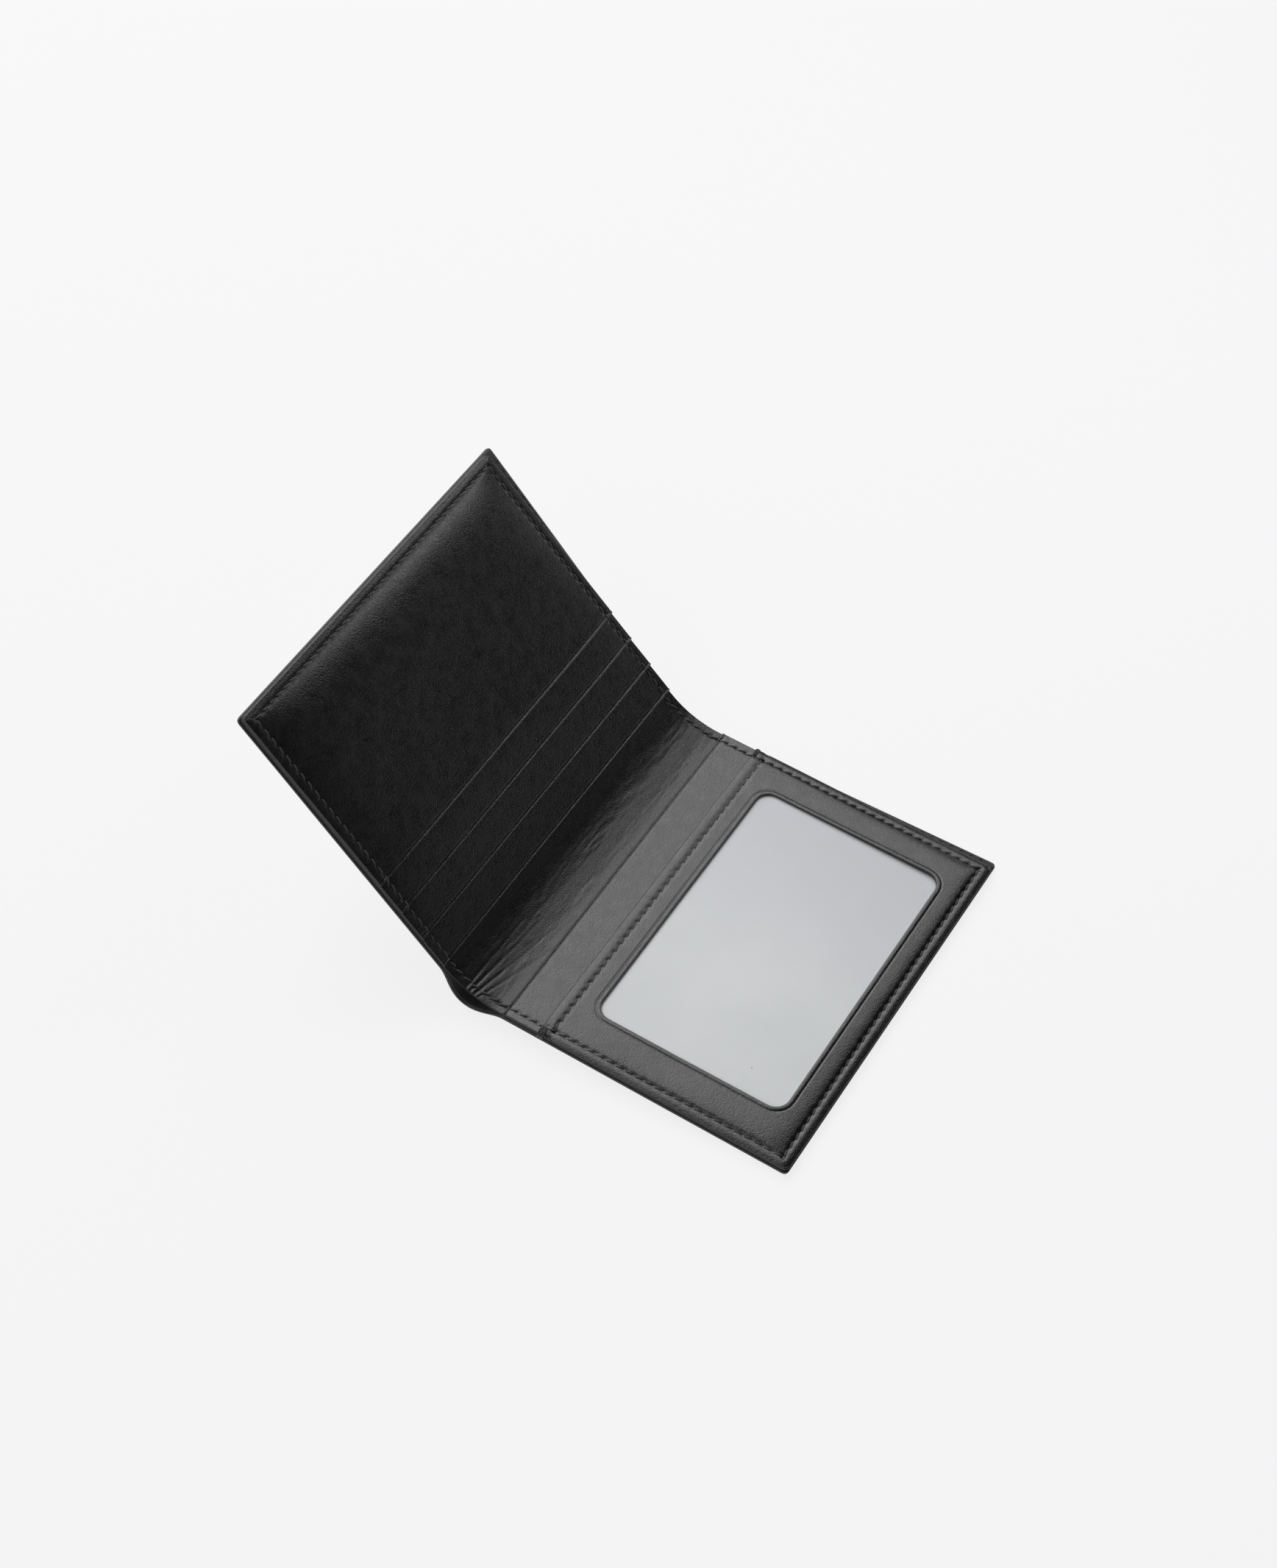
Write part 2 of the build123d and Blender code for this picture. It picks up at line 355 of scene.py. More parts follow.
def sewn_relief(u, y, outer_padding, end_padding, depth):
    """Height that the seams and the padding between them add. Each padding is (height, reach)."""
    gap_u, gap_y = edge_gaps(u, y)
    dip = (seam_dip(gap_y, u_wave(u), depth) * inside_seam(gap_u)
           + seam_dip(gap_u, y_wave(y), depth) * inside_seam(gap_y))
    in_u = np.clip(gap_u - SEAM_IN, 0, None)
    rise_u = 1 - np.exp(-in_u / outer_padding[1])
    rise_y = 1 - np.exp(-np.clip(gap_y - SEAM_IN, 0, None) / end_padding[1])
    padding = outer_padding[0] * rise_u * np.exp(-in_u / PADDING_FADE)
    return dip + padding * rise_y + end_padding[0] * rise_y * rise_u


def left_relief(u, y):
    """The left leaf is padded most beside its outer seam, and its edges turn down."""
    fade = smooth((u - LEAF_START) / 25)
    gap_u, gap_y = edge_gaps(u, y)
    roll = LEFT_ROLL * np.maximum(ridge(gap_u, 0, 1.3), 0.6 * fade * ridge(gap_y, 0, 1.1))
    return sewn_relief(u, y, (2.0, 5.3), (0.14, 6.0), 0.16) * (0.3 + 0.7 * fade) - roll


def right_relief(u, y):
    """Under the window panel the right leaf is almost flat."""
    return sewn_relief(u, y, (0.05, 1.6), (0.05, 1.6), 0.26)


def panel_relief(u, y):
    """The window panel's own shape: pressed down to its seams, full between them."""
    return sewn_relief(u, y, (0.85, 2.4), (0.12, 1.6), 0.26) - PANEL_PRESS


def pocket_mouth(index):
    return POCKET_FIRST + index * POCKET_STEP


def mouth_crease(u, mouth):
    """The pressed line that runs beside a turned pocket edge."""
    gap = u - mouth
    return 0.16 * ridge(gap, 0.30, 0.24) - 0.025 * ridge(gap, 1.05, 0.15)


# ---------------------------------------------------------------- materials

def new_material(name):
    material = bpy.data.materials.new(name)
    material.use_nodes = True
    tree = material.node_tree
    return material, tree, tree.nodes["Principled BSDF"]


def leaf_coordinates(tree, stretch=(1.0, 1.0)):
    """Texture coordinates in the leaf's own plane, one unit to 100 mm."""
    uv = tree.nodes.new("ShaderNodeUVMap")
    uv.uv_map = "leaf"
    mapping = tree.nodes.new("ShaderNodeMapping")
    mapping.inputs["Scale"].default_value = (stretch[0], stretch[1], 1.0)
    tree.links.new(uv.outputs["UV"], mapping.inputs["Vector"])
    return mapping.outputs["Vector"]


def math_node(tree, operation, first, second):
    """One Math node. first is a socket, second a socket or a number."""
    made = tree.nodes.new("ShaderNodeMath")
    made.operation = operation
    tree.links.new(first, made.inputs[0])
    if isinstance(second, float):
        made.inputs[1].default_value = second
    else:
        tree.links.new(second, made.inputs[1])
    return made.outputs[0]


def noise(tree, vector, per_mm, detail=4.0, roughness=0.55):
    made = tree.nodes.new("ShaderNodeTexNoise")
    made.inputs["Scale"].default_value = per_mm * 100
    made.inputs["Detail"].default_value = detail
    made.inputs["Roughness"].default_value = roughness
    tree.links.new(vector, made.inputs["Vector"])
    return made.outputs["Fac"]


def ramp(tree, fac, low, high, position=(0.35, 0.65)):
    made = tree.nodes.new("ShaderNodeValToRGB")
    made.color_ramp.elements[0].position = position[0]
    made.color_ramp.elements[1].position = position[1]
    made.color_ramp.elements[0].color = (*low, 1)
    made.color_ramp.elements[1].color = (*high, 1)
    tree.links.new(fac, made.inputs["Fac"])
    return made.outputs["Color"]


def span(tree, fac, low, high):
    made = tree.nodes.new("ShaderNodeMapRange")
    made.inputs["From Min"].default_value = 0.3
    made.inputs["From Max"].default_value = 0.7
    made.inputs["To Min"].default_value = low
    made.inputs["To Max"].default_value = high
    tree.links.new(fac, made.inputs["Value"])
    return made.outputs["Result"]


def mixed(tree, fac, a, b):
    made = tree.nodes.new("ShaderNodeMix")
    made.data_type = "RGBA"
    tree.links.new(fac, made.inputs["Factor"])
    for value, socket in ((a, made.inputs[6]), (b, made.inputs[7])):
        if isinstance(value, tuple):
            socket.default_value = (*value, 1)
        else:
            tree.links.new(value, socket)
    return made.outputs[2]


def bump(tree, height, distance_mm, strength, below=None):
    made = tree.nodes.new("ShaderNodeBump")
    made.inputs["Distance"].default_value = distance_mm * MM
    made.inputs["Strength"].default_value = strength
    tree.links.new(height, made.inputs["Height"])
    if below:
        tree.links.new(below, made.inputs["Normal"])
    return made.outputs["Normal"]


def rim_factor(tree, strength):
    """How close a place is to its sheet's turned edge, times a strength."""
    attribute = tree.nodes.new("ShaderNodeAttribute")
    attribute.attribute_name = "rim"
    return math_node(tree, "MULTIPLY", attribute.outputs["Fac"], strength)


def pebbles(tree, vector, per_mm):
    """Round-topped grain: 1 at the middle of each cell, falling to 0 at its edge."""
    cells = tree.nodes.new("ShaderNodeTexVoronoi")
    cells.inputs["Scale"].default_value = per_mm * 100
    tree.links.new(vector, cells.inputs["Vector"])
    domes = tree.nodes.new("ShaderNodeMapRange")
    domes.interpolation_type = "SMOOTHSTEP"
    domes.inputs["From Max"].default_value = 0.9
    domes.inputs["To Min"].default_value = 1.0
    domes.inputs["To Max"].default_value = 0.0
    tree.links.new(cells.outputs["Distance"], domes.inputs["Value"])
    return domes.outputs["Result"]


def leather(name, dark, light, edge, roughness, grain=0.05, specular=0.5):
    """Black leather: pebbled grain, slow changes of tone and gloss, and duller, paler edges."""
    material, tree, shader = new_material(name)
    vector = leaf_coordinates(tree)
    tone = ramp(tree, noise(tree, vector, 0.05), dark, light)
    fine = noise(tree, vector, 3.4, 2.0)
    slow = noise(tree, vector, 0.30, 3.0)
    tree.links.new(mixed(tree, rim_factor(tree, 0.8), tone, edge), shader.inputs["Base Color"])
    gloss = span(tree, slow, roughness - 0.05, roughness + 0.07)
    dulled = math_node(tree, "ADD", gloss, rim_factor(tree, 0.3))
    tree.links.new(dulled, shader.inputs["Roughness"])
    uneven = bump(tree, slow, 0.25, 0.35)
    pebbled = bump(tree, pebbles(tree, vector, 3.1), grain, 0.6, uneven)
    tree.links.new(bump(tree, fine, grain, 0.8, pebbled), shader.inputs["Normal"])
    shader.inputs["Specular IOR Level"].default_value = specular
    shader.inputs["Coat Weight"].default_value = 0.25
    shader.inputs["Coat Roughness"].default_value = 0.28
    return material


def lining_material():
    """Thin black twill."""
    material, tree, shader = new_material("lining")
    vector = leaf_coordinates(tree)
    wave = tree.nodes.new("ShaderNodeTexWave")
    wave.bands_direction = "DIAGONAL"
    wave.inputs["Scale"].default_value = 95
    wave.inputs["Distortion"].default_value = 0.6
    tree.links.new(vector, wave.inputs["Vector"])
    tone = ramp(tree, noise(tree, vector, 0.4), (0.010, 0.010, 0.011), (0.018, 0.018, 0.020))
    tree.links.new(tone, shader.inputs["Base Color"])
    tree.links.new(bump(tree, wave.outputs["Fac"], 0.05, 0.5), shader.inputs["Normal"])
    shader.inputs["Roughness"].default_value = 0.75
    shader.inputs["Sheen Weight"].default_value = 0.25
    return material


def thread_material():
    """Waxed black polyester, with its twist."""
    material, tree, shader = new_material("thread")
    vector = leaf_coordinates(tree, (1.0, 1.3))
    strands = noise(tree, vector, 3.5, 2.0)
    tone = ramp(tree, strands, (0.010, 0.010, 0.011), (0.032, 0.032, 0.034))
    tree.links.new(tone, shader.inputs["Base Color"])
    tree.links.new(bump(tree, strands, 0.08, 0.6), shader.inputs["Normal"])
    shader.inputs["Roughness"].default_value = 0.65
    shader.inputs["Sheen Weight"].default_value = 0.15
    return material


def board_material():
    """Pale brown card."""
    material, tree, shader = new_material("board")
    vector = leaf_coordinates(tree)
    tone = ramp(tree, noise(tree, vector, 1.5), (0.20, 0.16, 0.12), (0.30, 0.25, 0.19))
    tree.links.new(tone, shader.inputs["Base Color"])
    shader.inputs["Roughness"].default_value = 0.85
    return material


def specks(tree, vector):
    """Specks of dust, a third of a millimetre across, in some of the cells 14 mm wide."""
    cells = tree.nodes.new("ShaderNodeTexVoronoi")
    cells.inputs["Scale"].default_value = 7.0
    tree.links.new(vector, cells.inputs["Vector"])
    close = math_node(tree, "LESS_THAN", cells.outputs["Distance"], 0.012)
    chosen = math_node(tree, "GREATER_THAN", cells.outputs["Color"], 0.62)
    return math_node(tree, "MULTIPLY", close, chosen)


def paper_material():
    """The pale insert: faint fibres, a slight mottle, and painted shade that makes it cooler and darker
    towards its far end.
    """
    material, tree, shader = new_material("insert_paper")
    vector = leaf_coordinates(tree)
    mottle = ramp(tree, noise(tree, vector, 0.03, 3.0), (0.52, 0.54, 0.545), (0.575, 0.59, 0.595))
    # Painted shade: the paper is mixed towards a darker, bluer tone (0.42, 0.43, 0.465) towards its far end.
    split = tree.nodes.new("ShaderNodeSeparateXYZ")
    tree.links.new(vector, split.inputs[0])
    across = tree.nodes.new("ShaderNodeMapRange")
    across.interpolation_type = "SMOOTHSTEP"
    across.inputs["From Min"].default_value = -0.15
    across.inputs["From Max"].default_value = 0.42
    tree.links.new(split.outputs["Y"], across.inputs["Value"])
    tone = mixed(tree, across.outputs["Result"], mottle, (0.42, 0.43, 0.465))
    tree.links.new(mixed(tree, specks(tree, vector), tone, (0.12, 0.12, 0.13)), shader.inputs["Base Color"])
    tree.links.new(bump(tree, noise(tree, vector, 3.0), 0.02, 0.3), shader.inputs["Normal"])
    shader.inputs["Roughness"].default_value = 0.6
    return material


def film_material():
    """Clear glossy vinyl: nearly invisible but for its reflections."""
    material, tree, shader = new_material("clear_film")
    shader.inputs["Base Color"].default_value = (0.97, 0.98, 1.0, 1)
    shader.inputs["Roughness"].default_value = 0.26
    shader.inputs["IOR"].default_value = 1.45
    shader.inputs["Alpha"].default_value = 0.15
    vector = leaf_coordinates(tree)
    normal = bump(tree, noise(tree, vector, 0.08, 2.0), 0.2, 0.25)
    tree.links.new(normal, shader.inputs["Normal"])
    return material


def floor_material():
    """White paper that glows a little, so that it stays as even and pale as in the photo."""
    material, _, shader = new_material("floor")
    shader.inputs["Base Color"].default_value = (0.10, 0.10, 0.10, 1)
    shader.inputs["Roughness"].default_value = 0.9
    shader.inputs["Specular IOR Level"].default_value = 0.0
    shader.inputs["Emission Color"].default_value = (1, 1, 1, 1)
    shader.inputs["Emission Strength"].default_value = 0.82
    return material


SHELL_LEATHER = leather("shell_leather", (0.008, 0.008, 0.009), (0.013, 0.012, 0.013),
                        (0.026, 0.022, 0.019), 0.36)
INNER_LEATHER = leather("inner_leather", (0.003, 0.003, 0.0035), (0.0055, 0.0055, 0.006),
                        (0.012, 0.011, 0.011), 0.31)
SPINE_LEATHER = leather("spine_leather", (0.003, 0.003, 0.003), (0.0055, 0.0055, 0.0055),
                        (0.014, 0.013, 0.013), 0.33, grain=0.07, specular=0.36)
LINING = lining_material()
THREAD = thread_material()
BOARD = board_material()
PAPER = paper_material()
FILM = film_material()


# ---------------------------------------------------------------- sheets of both leaves

def flat(value):
    return lambda u, y: np.full_like(u, value)


SEAM_ZONE = 4.6          # grid lines stand SEAM_STEP apart this far in from a sewn edge
SEAM_STEP = 0.28
SEAM_ZONES_Y = ((NEAR, NEAR + SEAM_ZONE, SEAM_STEP), (FAR - SEAM_ZONE, FAR, SEAM_STEP))
SEAM_ZONE_U = (LEAF_W - SEAM_ZONE, LEAF_W, SEAM_STEP)
LINING_INSET = 1.5


def card_pocket(name, index, place, relief, node, seed):
    """One pocket: a leather sheet from its turned mouth to the leaf's outer edge."""
    mouth = pocket_mouth(index)
    last = index == LEFT_POCKETS - 1
    shown = LEAF_W if last else mouth + POCKET_STEP + 1.5
    top_z = BASE_TOP + (index + 1) * POCKET_PITCH
    inset = STACK_INSET * (1 - 0.15 * index)
    zones = ((mouth, mouth + 1.6, 0.12), (mouth + 1.4, shown, 0.6), SEAM_ZONE_U)
    us = lines(mouth, LEAF_W - inset, 4.0, zones)
    step_y = 0.6 if last else 2.2
    ys = lines(NEAR + inset, FAR - inset, step_y, SEAM_ZONES_Y)

    def top(u, y):
        wave = waviness(u, y, seed, 16.0, 0.09) * smooth((u - mouth) / 3)
        wave = wave * smooth((LEAF_W - u) / 8)
        return top_z + relief(u, y) + mouth_crease(u, mouth) + wave * (1 if last else 0.2)

    def bottom(u, y):
        return top_z - POCKET_PITCH + 0.02 + relief(u, y)

    obj = slab(name, us, ys, top, bottom, place, INNER_LEATHER)
    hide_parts(node)
    return obj


def pocket_lining(name, index, place, relief, node):
    """The thin lining glued behind a pocket, just inside its edges."""
    low = BASE_TOP + index * POCKET_PITCH + 0.03
    us = lines(pocket_mouth(index) + LINING_INSET, LEAF_W - LINING_INSET, 6.0, edge=THIN_EDGE)
    ys = lines(NEAR + LINING_INSET, FAR - LINING_INSET, 6.0, edge=THIN_EDGE)

    def shifted(height):
        return lambda u, y: low + height + relief(u, y)

    obj = slab(name, us, ys, shifted(0.08), shifted(0.0), place, LINING, edge=THIN_EDGE)
    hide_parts(node)
    return obj


def stiffener(side, place):
    """Board between the shell's leather and its lining."""
    us = lines(LEAF_START + 3, LEAF_W - RIM_W, 12.0, edge=THIN_EDGE)
    ys = lines(NEAR + RIM_W, FAR - RIM_W, 12.0, edge=THIN_EDGE)
    top = LEATHER_TOP - 0.12
    obj = slab("stiffener_" + side, us, ys, flat(top), flat(LEATHER_TOP - 0.3), place, BOARD, edge=THIN_EDGE)
    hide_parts("shell_stiffener_" + side)
    return obj


# ---------------------------------------------------------------- pieces that cross the fold

def across_fold(obj):
    """Bakes a piece's placement into its mesh, for a piece that crosses the fold between the two leaves."""
    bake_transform(obj)
    return obj


FAR_STRETCH = 25.0       # the raised far edge takes its rise from this much of the sheet


def raised_far_edge(fold):
    """Stretches the far edge of the shell, which stands taller towards both outer corners."""
    def warp(s, y):
        share = np.clip((fold.leaf_u(s) - LEAF_START) / (LEAF_W - LEAF_START), 0, 1)
        rise = np.where(s > 0, RISE_RIGHT, RISE_LEFT) * share
        return s, y + rise * smooth((y - FAR + FAR_STRETCH) / FAR_STRETCH)

    return warp


SHELL_FOLD = Fold(0.0, 9.5)
BULGE = 4.45
BULGE_REACH = 9.5
SHELL_INSET = 0.35       # the lining stops this far inside the leather


def bulge(s):
    """How far the shell hangs out behind the fold."""
    return BULGE * np.cos(np.clip(s / BULGE_REACH, -1, 1) * math.pi / 2) ** 2


def shell_grid():
    edge = SHELL_FOLD.across(LEAF_W)
    zones = ((-BULGE_REACH, BULGE_REACH, 0.5),
             (edge - SEAM_ZONE, edge, 0.3),
             (-edge, -edge + SEAM_ZONE, 0.3))
    return lines(-edge, edge, 2.5, zones), lines(NEAR, FAR, 2.2, SEAM_ZONES_Y)


def shell_groove(s, y):
    """Seam groove on the outside of the shell."""
    u = SHELL_FOLD.leaf_u(s)
    gap_u, gap_y = edge_gaps(u, y)
    on_leaf = smooth((u - LEAF_START - 1) / 3)
    ends = ridge(gap_y, SEAM_IN, 0.5) * on_leaf * inside_seam(gap_u)
    outer = ridge(gap_u, SEAM_IN, 0.5) * inside_seam(gap_y)
    return 0.2 * np.maximum(ends, outer)


def shell_leather():
    """The outer leather, one panel round both leaves and the fold."""
    us, ys = shell_grid()

    def low(s, y):
        body = waviness(s, y, 21, 22.0, 0.12) * smooth((LEAF_W - SHELL_FOLD.leaf_u(s)) / 10)
        return shell_groove(s, y) + 0.06 + np.clip(body, -0.05, 0.2) - bulge(s)

    def high(s, y):
        return LEATHER_TOP - bulge(s)

    obj = slab("shell_leather", us, ys, high, low, SHELL_FOLD.place, SHELL_LEATHER,
               radii=(CORNER_R, CORNER_R), warp=raised_far_edge(SHELL_FOLD), edge=0.4)
    across_fold(obj)
    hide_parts("shell_leather_right", "shell_leather_spine", "shell_leather_left")
    return obj


def shell_lining():
    """The shell's lining, which follows the leather a little inside its edges."""
    us, ys = shell_grid()

    def high(s, y):
        return SHELL_TOP - bulge(s)

    def low(s, y):
        return LEATHER_TOP - 0.02 - bulge(s)

    us = np.unique(np.clip(us, us[0] + SHELL_INSET, us[-1] - SHELL_INSET))
    ys = np.unique(np.clip(ys, ys[0] + SHELL_INSET, ys[-1] - SHELL_INSET))
    obj = slab("shell_lining", us, ys, high, low, SHELL_FOLD.place, LINING,
               radii=(CORNER_R, CORNER_R), warp=raised_far_edge(SHELL_FOLD), edge=0.2)
    across_fold(obj)
    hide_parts("shell_lining_right", "shell_lining_spine", "shell_lining_left")
    return obj


INNER_FOLD = Fold(BASE_TOP, 8.3)
WRINKLE_REACH = 8.0
# Lean off the fold's own direction, start at the near edge, and depth of each deep wrinkle
FAN_WRINKLES = ((0.02, -1.6, 0.28), (0.10, -0.5, 0.34), (0.20, 0.6, 0.26), (0.33, 1.6, 0.18))


def fold_wrinkles(s, y):
    """Fine wrinkles along the fold, with a fan of deeper ones at its near end."""
    middle = smooth((WRINKLE_REACH - np.abs(s)) / 3)
    drift = 1.6 * lattice_noise(s / 9 + 2, y / 16 + 4, 31)
    ridges = lattice_noise(s / 0.55 + drift, y / 2.2 + 9, 32) - 0.5
    broad = lattice_noise(s / 1.5 + drift, y / 9 + 3, 33) - 0.5
    patchy = 0.35 + 0.65 * lattice_noise(s / 3.5 + 5, y / 9, 34)
    relief = middle * patchy * (0.09 * ridges + 0.10 * broad)
    reach = y - NEAR
    fade = np.exp(-reach / 9.0) * smooth(reach / 1.2)
    for lean, start, depth in FAN_WRINKLES:
        relief = relief - depth * fade * ridge(s, start + lean * reach, 0.34)
    return relief


def inner_panel():
    """The bill compartment's front wall, seen as the wrinkled strip between the pockets."""
    edge = INNER_FOLD.across(LEAF_W - STACK_INSET)
    reach = INNER_FOLD.across(POCKET_FIRST)
    zones = ((-9.5, 9.5, 0.2),)
    us = lines(-edge, edge, 5.0, zones)
    ys = lines(NEAR + STACK_INSET, FAR - STACK_INSET, 0.8, SEAM_ZONES_Y)

    def relief(s, y):
        u = INNER_FOLD.leaf_u(s)
        gap_y = edge_gaps(u, y)[1]
        right = right_relief(u, y)
        left = left_relief(u, y)
        side = smooth((s + 4) / 8)
        sewn = right * side + left * (1 - side)
        crossing = seam_dip(gap_y, hole_wave(s, -reach, reach), 0.12) * smooth((10 - np.abs(s)) / 3)
        return sewn * smooth((np.abs(s) - 3) / 5) + crossing + fold_wrinkles(s, y)

    def top(s, y):
        return BASE_TOP + relief(s, y)

    def bottom(s, y):
        return np.maximum(INNER_LOW + relief(s, y) * 0.5, SHELL_TOP + 0.03)

    obj = slab("inner_panel", us, ys, top, bottom, INNER_FOLD.place, SPINE_LEATHER,
               radii=(CORNER_R, CORNER_R))
    across_fold(obj)
    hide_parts("inner_panel_right", "inner_panel_spine", "inner_panel_left")
    return obj


# ---------------------------------------------------------------- window panel, film and insert

def rect_loop(u0, u1, y0, y1, radii, count_u, count_y, count_c):
    """Points round a rectangle with round corners, always in the same order and number."""
    r0, r1 = radii
    corners = ((u1, y0, r1, -90), (u1, y1, r1, 0), (u0, y1, r0, 90), (u0, y0, r0, 180))
    counts = (count_y, count_u, count_y, count_u)
    arcs = []
    for u, y, r, start in corners:
        side = 1 if u == u1 else -1
        end = 1 if y == y1 else -1
        angle = np.radians(start + np.linspace(0, 90, count_c))
        arcs.append(np.stack([u - side * r + r * np.cos(angle), y - end * r + r * np.sin(angle)], axis=1))
    loop = []
    for i, arc in enumerate(arcs):
        after = arcs[(i + 1) % 4][0]
        run = np.linspace(arc[-1], after, counts[i] + 1)[1:-1]
        loop.extend([arc, run])
    return np.concatenate(loop)


PANEL_EDGE = 0.3         # how far in from its edges the window panel is rounded
PANEL_COUNTS = (120, 185, 7)    # points of a ring along u, along y and round a corner
SHARPEST = 0.5           # least radius of the panel's outer corners
SQUARE_EDGE = 5          # the opening's edge is squarer than a circle, whose power is 2
ROUND_EDGE = 2


def window_ring(gap):
    """A loop round the window, this far outside it."""
    half_u, half_y = WINDOW_W / 2 + gap, WINDOW_H / 2 + gap
    radii = (WINDOW_R + gap, WINDOW_R + gap)
    return rect_loop(WINDOW_U - half_u, WINDOW_U + half_u, WINDOW_Y - half_y, WINDOW_Y + half_y,
                     radii, *PANEL_COUNTS)


def edge_ring(gap):
    """A loop inside the panel's own edge, this far from it."""
    radii = (SHARPEST, max(CORNER_R - gap, SHARPEST))
    return rect_loop(PANEL_MOUTH + gap, LEAF_W - gap, NEAR + gap, FAR - gap, radii, *PANEL_COUNTS)


def window_panel_rings():
    """Plan of each ring from the opening's edge to the panel's edge, with its rounding factor."""
    curve = PANEL_EDGE * quarter_turn(6)[:-1]
    inner_gaps = np.concatenate([curve, np.arange(PANEL_EDGE, 2.7, 0.14)])
    outer_gaps = np.concatenate([curve, np.arange(PANEL_EDGE, 4.7, SEAM_STEP)])[::-1]
    inner = [window_ring(gap) for gap in inner_gaps]
    outer = [edge_ring(gap) for gap in outer_gaps]
    shares = np.linspace(0, 1, 8)[1:-1]
    between = [inner[-1] * (1 - share) + outer[0] * share for share in shares]
    gaps = np.concatenate([inner_gaps, np.full(len(shares), PANEL_EDGE), outer_gaps])
    return np.array(inner + between + outer), np.minimum(gaps / PANEL_EDGE, 1.0)


def rounded_gap(u, y):
    """Distance outwards from the window opening."""
    du = np.abs(u - WINDOW_U) - WINDOW_W / 2 + WINDOW_R
    dy = np.abs(y - WINDOW_Y) - WINDOW_H / 2 + WINDOW_R
    outside = np.hypot(np.clip(du, 0, None), np.clip(dy, 0, None))
    return outside + np.minimum(np.maximum(du, dy), 0) - WINDOW_R


def panel_top(u, y):
    """The panel's face: a bead and a pressed line round the opening, a seam and a lip at the mouth."""
    gap = rounded_gap(u, y)
    pressed = -0.12 * ridge(gap, 1.25, 0.2)
    bead = 0.13 * ridge(gap, 0.5, 0.6)
    mouth_gap = u - PANEL_MOUTH
    mouth_seam = seam_dip(mouth_gap - MOUTH_SEAM + SEAM_IN, y_wave(y), 0.28)
    lip = 0.05 * ridge(mouth_gap, 1.3, 0.8)
    wave = waviness(u, y, 41, 15.0, 0.08) * smooth((LEAF_W - u) / 6) * smooth((gap + 0.2) / 2)
    gap_u, gap_y = edge_gaps(u, y)
    roll = -PANEL_ROLL * (ridge(gap_u, 0, 0.9) + ridge(gap_y, 0, 0.9))
    wave = wave + np.maximum(roll, -PANEL_ROLL)
    return PANEL_TOP + panel_relief(u, y) + pressed + bead + mouth_seam + lip + wave


def panel_bottom(u, y):
    """Thin over the film, and as deep as the stack at its sewn rim."""
    gap_u, gap_y = edge_gaps(u, y)
    rim = 1 - smooth((np.minimum(gap_u, gap_y) - RIM_W) / 0.6)
    thin = PANEL_TOP - PANEL_T
    return thin + (BASE_TOP + POCKET_PITCH - 0.35 - thin) * rim


def window_panel():
    """The leather frame over the film, built as rings round its opening."""
    rings, factors = window_panel_rings()
    n_ring, n_loop = rings.shape[:2]
    u, y = rings[..., 0], rings[..., 1]
    power = np.where(np.arange(n_ring) < n_ring / 2, SQUARE_EDGE, ROUND_EDGE)
    full = (np.clip(1 - (1 - factors) ** power, 0, 1) ** (1 / power))[:, None]
    high, low = panel_top(u, y), panel_bottom(u, y)
    middle = (high + low) / 2
    zt = middle + (high - middle) * full
    zb = middle - (middle - low) * full
    top_id = np.arange(n_ring * n_loop).reshape(n_ring, n_loop)
    low_id = top_id.copy()
    low_id[1:-1] = n_ring * n_loop + np.arange((n_ring - 2) * n_loop).reshape(n_ring - 2, n_loop)

    def quads(ids, flip):
        after = np.roll(ids, -1, axis=1)
        parts = (ids[:-1], ids[1:], after[1:], after[:-1])
        if flip:
            parts = parts[::-1]
        return np.stack([p.ravel() for p in parts], axis=1)

    inner = slice(1, -1)
    all_u = np.concatenate([u.ravel(), u[inner].ravel()])
    all_y = np.concatenate([y.ravel(), y[inner].ravel()])
    all_z = np.concatenate([zt.ravel(), zb[inner].ravel()])
    worn = (1 - full[:, 0]) * (np.arange(n_ring) > n_ring / 2)
    rim = np.concatenate([np.repeat(worn, n_loop), np.repeat(worn[inner], n_loop)])
    faces = np.concatenate([quads(top_id, False), quads(low_id, True)])
    points = right_point(all_u, all_y, all_z)
    plan = np.stack([all_u, all_y], axis=1)
    obj = make_object("window_panel_leather", points, faces, plan, rim, INNER_LEATHER)
    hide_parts("window_panel")
    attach(obj, "right_leaf")
    return obj


def window_film():
    """The clear sheet behind the window, a little wavy."""
    us = lines(PANEL_MOUTH + 1.0, LEAF_W - RIM_W, 1.6, edge=FILM_EDGE)
    ys = lines(NEAR + RIM_W, FAR - RIM_W, 1.6, edge=FILM_EDGE)

    def top(u, y):
        return FILM_TOP + waviness(u, y, 51, 19.0, 0.05)

    def bottom(u, y):
        return top(u, y) - FILM_T

    obj = slab("film", us, ys, top, bottom, right_point, FILM, radii=(0, 0), edge=FILM_EDGE)
    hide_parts("window_film")
    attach(obj, "right_leaf")
    return obj


def insert_card():
    """The pale sheet in the window pocket."""
    us = lines(WINDOW_U - INSERT_W / 2, WINDOW_U + INSERT_W / 2, 2.0, edge=CARD_EDGE)
    ys = lines(WINDOW_Y - INSERT_H / 2, WINDOW_Y + INSERT_H / 2, 2.0, edge=CARD_EDGE)
    obj = slab("insert_card", us, ys, flat(INSERT_LOW + INSERT_T), flat(INSERT_LOW), right_point, PAPER,
               radii=(INSERT_R, INSERT_R), edge=CARD_EDGE)
    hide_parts("id_insert")
    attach(obj, "insert")
    return obj


# ---------------------------------------------------------------- thread

THREAD_SIDES = 6
STITCH_RINGS = 7


